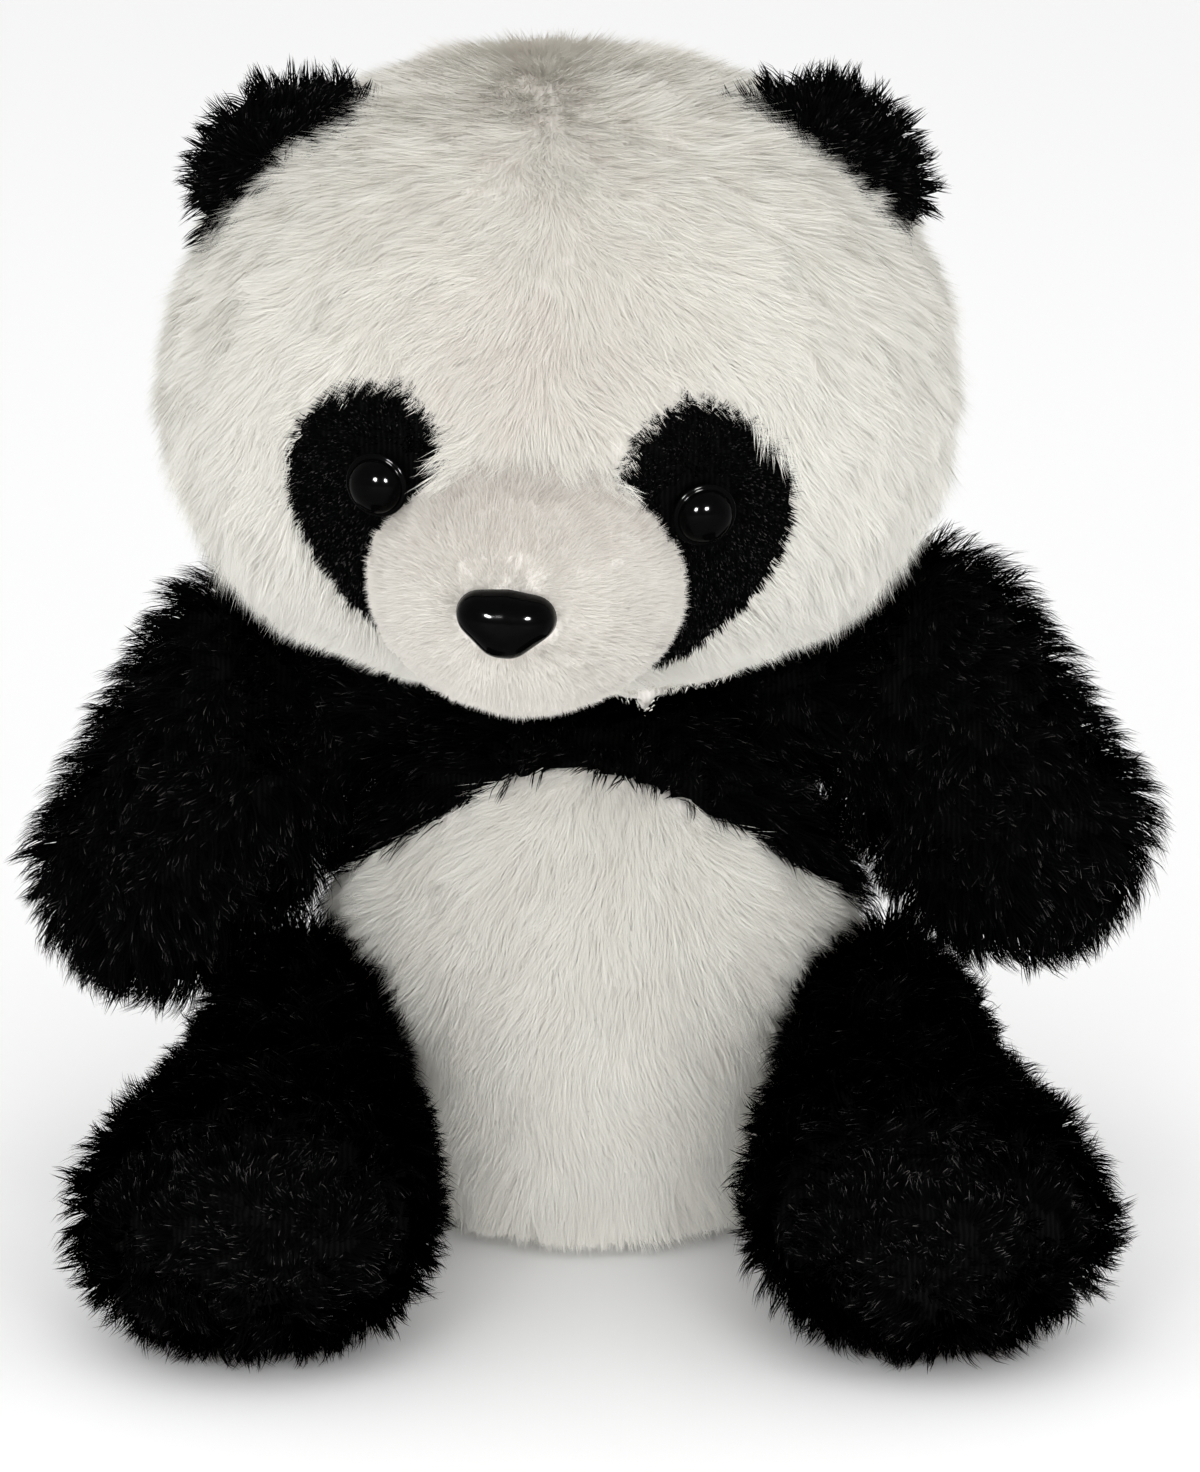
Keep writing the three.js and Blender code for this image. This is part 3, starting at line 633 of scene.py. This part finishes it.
# Where a limb's or an ear's fabric goes on under its neighbour, inside the sewn seam.
ROOTS = {}
for side, sign in (("left", -1), ("right", 1)):
    ROOTS[f"arm_{side}"] = [ball((sign * 0.027, 0.006, 0.074), (0.012, 0.015, 0.0105))]
    ROOTS[f"ear_{side}"] = [ball(JOINT[f"ear_{side}_fold"], (0.0155, 0.0032, 0.010), sign * EAR_TILT)]


class Labels:
    """Which cover of a body is nearest to a point."""

    def __init__(self, names):
        points, triangles, self.owner = [], [], []
        count = 0
        for k, name in enumerate(names):
            co, tri, _ = arrays(CAD[name].data)
            points.append(co)
            triangles.append(tri + count)
            self.owner += [k] * len(tri)
            count += len(co)
        points, triangles = np.concatenate(points), np.concatenate(triangles)
        self.tree = BVHTree.FromPolygons(points.tolist(), triangles.tolist())

    def of(self, points):
        return np.array([self.owner[self.tree.find_nearest(Vector(p))[2]] for p in points])


def panel(points, triangles, chosen):
    """The part of a surface made of some of its triangles."""
    tri = triangles[chosen]
    used, index = np.unique(tri, return_inverse=True)
    return points[used], index.reshape(-1, 3)


def axis_of(washer):
    """Centre and outward direction of a washer's bore."""
    points = arrays(CAD[washer].data)[0]
    centre = points.mean(0)
    normal = np.linalg.svd(points - centre, full_matrices=False)[2][2]
    return centre, normal * (-1 if normal[1] > 0 else 1)


HARDWARE = [(axis_of(f"eye_washer_{side}"), 4.9 * MM, 4.9 * MM) for side in SIDES]
HARDWARE.append((axis_of("nose_washer"), 6.3 * MM, 4.2 * MM))


def clear_of_hardware(points):
    """False where an eye or the nose covers the cloth."""
    keep = np.ones(len(points), bool)
    for (centre, axis), wide, high in HARDWARE:
        d = points - centre
        flat = d - np.outer(d @ axis, axis)
        inside = (flat[:, 0] / wide) ** 2 + (flat[:, 2] / high) ** 2 < 1
        keep &= ~(inside & (d @ axis > -0.01) & (d @ axis < 0.03))
    return keep


def clear_of_head(p):
    """Shoulder points pressed down out of the room that the head turns in."""
    d = (p - HEAD_MIDDLE) / HEAD_ROOM
    reach = np.linalg.norm(d, axis=1, keepdims=True)
    return np.where(reach < 1, HEAD_MIDDLE + d / np.maximum(reach, 1e-9) * HEAD_ROOM, p)


def sag(p):
    """The pellets push the foot of the belly forward between the legs."""
    low = np.clip(1 - p[:, 2] / 0.034, 0, 1)
    front = np.clip(-p[:, 1] / 0.02, 0, 1)
    between = np.clip(1 - (p[:, 0] / 0.028) ** 2, 0, 1)
    share = low * front * between
    return share[:, None] * np.array([0, -6.5 * MM, -1.5 * MM])


def plumped(points, triangles, labels):
    """How the stuffing moves a skin between its seams, from a cloth simulation of a coarse copy.

    The seams stay where they are, and no point moves further than PLUMP_LIMIT."""
    fine = make_mesh("fine", points, triangles)
    coarse = evaluated(fine, ("REMESH", {"mode": "VOXEL", "voxel_size": SHELL_VOXEL}))
    start = arrays(coarse)[0]
    owner = labels.of(start)
    shell = bpy.data.objects.new("shell", coarse)
    scene.collection.objects.link(shell)
    ends = np.empty(2 * len(coarse.edges), np.int32)
    coarse.edges.foreach_get("vertices", ends)
    ends = ends.reshape(-1, 2)
    sewn = np.unique(ends[owner[ends[:, 0]] != owner[ends[:, 1]]])
    shell.vertex_groups.new(name="seam").add([int(i) for i in sewn], 1.0, "REPLACE")
    cloth = shell.modifiers.new("cloth", "CLOTH")
    cloth.settings.use_pressure = True
    cloth.settings.uniform_pressure_force = SHELL_PRESSURE
    cloth.settings.vertex_group_mass = "seam"
    cloth.settings.mass = SHELL_MASS
    cloth.settings.tension_stiffness = SHELL_STIFFNESS
    cloth.settings.compression_stiffness = SHELL_STIFFNESS
    cloth.settings.shear_stiffness = SHELL_STIFFNESS
    cloth.settings.bending_stiffness = SHELL_STIFFNESS
    cloth.settings.effector_weights.gravity = 0
    cloth.point_cache.frame_start = 1
    cloth.point_cache.frame_end = SHELL_FRAMES
    for frame_number in range(1, SHELL_FRAMES + 1):
        scene.frame_set(frame_number)
    graph = bpy.context.evaluated_depsgraph_get()
    end = np.array([v.co for v in shell.evaluated_get(graph).data.vertices])
    bpy.data.objects.remove(shell)
    scene.frame_set(1)
    move = end - start
    move = move * np.minimum(1, PLUMP_LIMIT / np.maximum(np.linalg.norm(move, axis=1, keepdims=True), 1e-9))
    tree = KDTree(len(start))
    for index, point in enumerate(start):
        tree.insert(point, index)
    tree.balance()
    moved = np.empty_like(points)
    for index, point in enumerate(points):
        near = tree.find_n(point, 6)
        weights = np.array([1 / (distance + 0.5 * MM) ** 2 for _, _, distance in near])
        moved[index] = (move[[k for _, k, _ in near]] * weights[:, None]).sum(0) / weights.sum()
    return moved


def dress(body, seed):
    """The covers of one body: stuffed cloth panels and the pile that stands on each."""
    covers = COVERS[body]
    names = list(covers)
    skin = solid_skin(names + SOFT_INSIDE[body], VOXEL[body.split("_")[0]], 6, *ROOTS.get(body, []))
    points, triangles, normals = arrays(skin)
    labels = Labels(names)
    rng = np.random.default_rng(seed)
    corner_label = labels.of(points[triangles].mean(1))
    vertex_label = np.zeros(len(points), int)
    vertex_label[triangles.ravel()] = np.repeat(corner_label, 3)
    inset = np.array([INSET[covers[n][0]] for n in names])[vertex_label]
    if body.startswith("ear"):
        inset = inset * 0.5
    if body.startswith("arm"):
        inset = inset * (0.5 + 0.5 * np.clip((points[:, 2] - 0.058) / 0.012, 0, 1))
    for _ in range(3):
        total, weight = np.zeros(len(points)), np.zeros(len(points))
        face_mean = inset[triangles].mean(1)
        for k in range(3):
            np.add.at(total, triangles[:, k], face_mean)
            np.add.at(weight, triangles[:, k], 1)
        inset = total / np.maximum(weight, 1)
    points = points - normals * inset[:, None]
    if not body.startswith("ear"):
        swell = (plumped(points, triangles, labels) * normals).sum(1)
        points = points + normals * np.maximum(swell, 0)[:, None]
    if body == "torso":
        points = points + sag(points)
    if body == "torso" or body.startswith("arm"):
        points = clear_of_head(points)
    points[:, 2] = np.maximum(points[:, 2], 0.0006)
    pieces = []
    for k, name in enumerate(names):
        slot, spec, flow, tone = covers[name]
        part, tri = panel(points, triangles, corner_label == k)
        cloth = evaluated(
            make_mesh(name, part, tri), ("SOLIDIFY", {"thickness": CLOTH_THICKNESS, "offset": -1.0})
        )
        cover = add_piece(f"{name}_cloth", cloth, CLOTH[slot])
        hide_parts(name)
        surface = area_of(part, tri)
        tufts = int(surface / MM ** 2 * spec["density"] / spec["per_tuft"])
        centres, directions = sample_surface(points, triangles[corner_label == k], normals, tufts, rng)
        if body == "head":
            keep = clear_of_hardware(centres)
            centres, directions = centres[keep], directions[keep]
        shorten = np.ones(len(centres))
        if slot == "white_plush" and body == "head":
            shorten = head_length(centres)
        if slot in ("white_plush", "muzzle_plush") and body == "head":
            dark = np.array([covers[n][0].startswith("black") for n in names])
            heading = flow(centres)
            heading = unit(heading - directions * (heading * directions).sum(1, keepdims=True))
            for share, cut in ((0.85, 0.6), (0.45, 0.6)):
                reach = labels.of(centres + (directions * 0.4 + heading * share) * spec["length"])
                shorten[dark[reach]] *= cut
        data = grow_strands(centres, directions, flow, spec, tone, shorten, rng)
        pile = add_piece(f"{name}_pile", pile_mesh(f"{name}_pile", *data), PILE[slot])
        pile.visible_shadow = slot.startswith("black")
        pieces += [cover, pile]
    return pieces


def stuffing_piece(node, slot, seed):
    """A loose lump of fill in the room that the covers leave."""
    mesh = solid_skin([node], 3 * MM, 4)
    points, triangles, normals = arrays(mesh)
    rng = np.random.default_rng(seed)
    waves = rng.normal(0, 1, (6, 3)) * 220
    phase = rng.uniform(0, 6.28, 6)
    lumps = np.sin(points @ waves.T + phase).sum(1) * 0.15 * MM
    points = points + normals * (lumps - 1.2 * MM)[:, None]
    piece = add_piece(f"{node}_fill", make_mesh(node, points, triangles), CLOTH[slot])
    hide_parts(node)
    return piece


PIECES = {}
for number, body in enumerate(COVERS):
    PIECES[body] = dress(body, 100 + number)
    for index, node in enumerate(SOFT_INSIDE[body]):
        slot = "pellet_cloth" if node == "pellet_bag" else "stuffing"
        PIECES[body].append(stuffing_piece(node, slot, 500 + 10 * number + index))
PIECES["neck"] = [stuffing_piece("neck_stuffing", "stuffing", 600)]
PIECES["neck"][0].data.materials[0] = CLOTH["black_plush"]


# ---------------------------------------------------------------- eyes and nose

def lathe(profile, around, centre, axis):
    """A closed turned form: profile is (radius, height) pairs from the back pole to the front pole."""
    helper = np.array([0, 0, 1.0])
    wide = unit(np.cross(helper, axis))
    high = np.cross(axis, wide)
    turn = np.linspace(0, 2 * math.pi, around, endpoint=False)
    spokes = np.cos(turn)[:, None] * wide + np.sin(turn)[:, None] * high
    rings = [centre + axis * h + r * spokes for r, h in profile[1:-1]]
    points = np.concatenate([[centre + axis * profile[0][1]], *rings, [centre + axis * profile[-1][1]]])
    count, tri = len(profile) - 2, []
    for j in range(around):
        k = (j + 1) % around
        tri.append((0, 1 + k, 1 + j))
        for i in range(count - 1):
            a, b = 1 + i * around + j, 1 + i * around + k
            c, d = a + around, b + around
            tri += [(a, b, d), (a, d, c)]
        last = 1 + (count - 1) * around
        tri.append((last + j, last + k, len(points) - 1))
    return points, np.array(tri)


EYE_RISE = 3.0 * MM     # dome above its rim
EYE_SHANK = 1.0 * MM    # radius
EYE_SINK = 6.5 * MM     # shank below the rim
RIM = 0.35 * MM         # radius of the rim's round edge


def build_eye(side):
    """A glossy dome in a thin round rim, on a shank through the cloth."""
    centre, axis = axis_of(f"eye_washer_{side}")
    points = arrays(CAD[f"eye_{side}"].data)[0]
    heights = (points - centre) @ axis
    apex = heights.max()
    radial = np.linalg.norm(points - centre - np.outer(heights, axis), axis=1)
    radius = radial.max()
    rim = apex - EYE_RISE
    back = rim - 2 * RIM
    groove = radius - RIM - 0.28 * MM
    dome, foot = radius - RIM - 0.3 * MM, rim + 0.1 * MM
    end = rim - EYE_SINK
    profile = [(0, end), (EYE_SHANK, end), (EYE_SHANK, back), (radius - 0.5 * MM, back)]
    for k in range(9):
        a = -math.pi / 2 + math.pi * k / 8
        profile.append((radius - RIM + RIM * math.cos(a), rim - 0.2 * MM + RIM * math.sin(a)))
    profile.append((groove, rim + 0.05 * MM))
    for k in range(1, 20):
        a = math.pi / 2 * k / 20
        profile.append((dome * math.cos(a), foot + (apex - foot) * math.sin(a)))
    profile.append((0, apex))
    points, tri = lathe(profile, 56, centre, axis)
    eye = add_piece(f"eye_{side}_dome", make_mesh("eye", points, tri), GLOSS)
    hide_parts(f"eye_{side}")
    return eye


def hull(points):
    """Corner points of a flat convex outline, anticlockwise."""
    points = sorted(map(tuple, points))

    def turns_left(a, b, c):
        return (b[0] - a[0]) * (c[1] - a[1]) > (b[1] - a[1]) * (c[0] - a[0])

    def half(run):
        out = []
        for p in run:
            while len(out) > 1 and not turns_left(out[-2], out[-1], p):
                out.pop()
            out.append(p)
        return out[:-1]
    return np.array(half(points) + half(points[::-1]))


NOSE_DISCS = [(-3.55, 1.2, 3.2), (3.55, 1.2, 3.2), (0, 2.1, 2.7), (-0.5, -0.8, 3.7), (0.5, -0.8, 3.7)]  # mm
NOSE_DEPTH = 5.0 * MM
NOSE_SEAT = 1.8 * MM  # how far the button sinks into the pile of the muzzle


def nose_outline(around):
    """A rounded triangle, wide side up, as radius by angle: the line drawn tight round five discs."""
    turn = np.linspace(0, 2 * math.pi, 60, endpoint=False)
    circle = np.stack([np.cos(turn), np.sin(turn)], 1)
    ring = np.concatenate([np.array([x, y]) + r * circle for x, y, r in NOSE_DISCS])
    outline = hull(ring)
    closed = np.concatenate([outline, outline[:1]])
    share = np.linspace(0, 1, 12)[:, None]
    dense = np.concatenate([a + (b - a) * share for a, b in zip(closed[:-1], closed[1:])])
    angle = np.arctan2(dense[:, 1], dense[:, 0])
    order = np.argsort(angle)
    at = np.linspace(-math.pi, math.pi, around, endpoint=False)
    return at, np.interp(at, angle[order], np.linalg.norm(dense, axis=1)[order], period=2 * math.pi)


def build_nose():
    """A domed button with a rounded edge, on a shank through the cloth."""
    centre, axis = axis_of("nose_washer")
    points = arrays(CAD["nose"].data)[0]
    heights = (points - centre) @ axis
    apex = heights.max()
    front = points[heights > apex - 4.5 * MM]
    flat = front - np.outer((front - centre) @ axis, axis)
    wide = np.linalg.svd(flat - flat.mean(0), full_matrices=False)[2][0]
    wide = unit(wide - axis * (wide @ axis)) * (1 if wide[0] > 0 else -1)
    high = np.cross(axis, wide)
    high = high * (1 if high[2] > 0 else -1)
    a, b = (flat @ wide), (flat @ high)
    origin = axis * (centre @ axis) + wide * (a.max() + a.min()) / 2 + high * (b.max() + b.min()) / 2
    around = 72
    at, radius = nose_outline(around)
    radius = radius * MM
    shank, back, side = 0.30, -NOSE_DEPTH - 0.2 * MM, NOSE_DEPTH - 0.5 * MM
    rings = [(shank, -NOSE_DEPTH * 1.3), (shank, back), (0.90, back), (0.97, -NOSE_DEPTH), (1.0, -side)]
    for k in range(1, 22):
        s = 1 - k / 22
        rings.append((s, -side * (1 - (1 - s ** 3.0) ** (1 / 1.9))))
    base = origin + axis * (apex - NOSE_SEAT)
    spokes = wide * (radius * np.cos(at))[:, None] + high * (radius * np.sin(at))[:, None]
    rows = [base + axis * h + s * spokes for s, h in rings]
    points = np.concatenate([[base + axis * rings[0][1]], *rows, [base]])
    tri = []
    for j in range(around):
        k = (j + 1) % around
        tri.append((0, 1 + k, 1 + j))
        for i in range(len(rings) - 1):
            p, q = 1 + i * around + j, 1 + i * around + k
            tri += [(p, q, q + around), (p, q + around, p + around)]
        last = 1 + (len(rings) - 1) * around
        tri.append((last + j, last + k, len(points) - 1))
    nose = add_piece("nose_button", make_mesh("nose", points, np.array(tri)), GLOSS)
    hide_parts("nose")
    return nose


PIECES["head"] += [build_eye(side) for side in SIDES] + [build_nose()]
for name in ("eye_washer_left", "eye_washer_right", "nose_washer"):
    CAD[name].data.materials.clear()
    CAD[name].data.materials.append(WASHER)

def bend(body):
    """The neighbour of a limb or an ear, and two points on either side of the seam where its fabric meets
    it. Below, only whether a body has them is used.
    """
    kind, _, side = body.partition("_")
    sign = -1 if side == "left" else 1
    if kind == "arm":
        return "torso", (sign * 0.022, 0.008, 0.076), (sign * 0.044, 0.006, 0.070)
    if kind == "leg":
        return "torso", (sign * 0.040, 0.010, 0.021), (sign * 0.041, -0.022, 0.021)
    if kind == "ear":
        up = np.array([sign * math.sin(EAR_TILT), 0, math.cos(EAR_TILT)])
        root = JOINT[f"ear_{side}_fold"]
        return "head", tuple(root - up * 0.002), tuple(root + up * 0.006)
    return None


for body, found in PIECES.items():
    seam = bend(body)
    for piece in found:
        if seam:
            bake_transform(piece)
        else:
            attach(piece, body)


# ---------------------------------------------------------------- floor and light

def wide_floor():
    """A pale floor that runs out of sight on every side."""
    reach = 8.0
    points = [(-reach, -reach, 0), (reach, -reach, 0), (reach, reach, 0), (-reach, reach, 0)]
    material, nodes, links, shader = new_material("floor")
    cloud = nodes.new("ShaderNodeTexNoise")
    cloud.inputs["Scale"].default_value = 6
    tint = ramp(nodes, ((0, (0.90, 0.90, 0.90)), (1, (0.94, 0.94, 0.94))))
    links.new(cloud.outputs[0], tint.inputs[0])
    links.new(tint.outputs[0], shader.inputs["Base Color"])
    shader.inputs["Roughness"].default_value = 0.9
    shader.inputs["Specular IOR Level"].default_value = 0.1
    floor = add_piece("floor", make_mesh("floor", points, [(0, 1, 2), (0, 2, 3)]), material)


def area_light(name, place, size, power, catch=False):
    """A disc of light aimed at the object. A catch light shows only as a highlight on glossy pieces."""
    light = bpy.data.lights.new(name, "AREA")
    light.shape = "DISK"
    light.size = size
    light.energy = power
    lamp = bpy.data.objects.new(name, light)
    scene.collection.objects.link(lamp)
    lamp.location = place
    lamp.rotation_mode = "QUATERNION"
    lamp.rotation_quaternion = (AIM - Vector(place)).to_track_quat("-Z", "Y")
    lamp.visible_diffuse = not catch
    lamp.visible_glossy = catch


wide_floor()
area_light("key_left", (-0.5, -1.3, 0.5), 0.9, 3.6)
area_light("key_right", (0.5, -1.3, 0.5), 0.9, 3.6)
area_light("fill", (0, -1.5, 0.15), 0.6, 3.6)
area_light("top", (0, -0.5, 1.3), 0.9, 2.0)
area_light("catch_left", (-0.42, -1.2, 0.50), 0.26, 260, catch=True)
area_light("catch_right", (0.42, -1.2, 0.50), 0.26, 260, catch=True)
world = bpy.data.worlds.new("world")
scene.world = world
world.use_nodes = True
world.node_tree.nodes["Background"].inputs[0].default_value = (1, 1, 1, 1)
world.node_tree.nodes["Background"].inputs[1].default_value = 0.95
scene.view_settings.view_transform = "Standard"
scene.view_settings.look = "None"
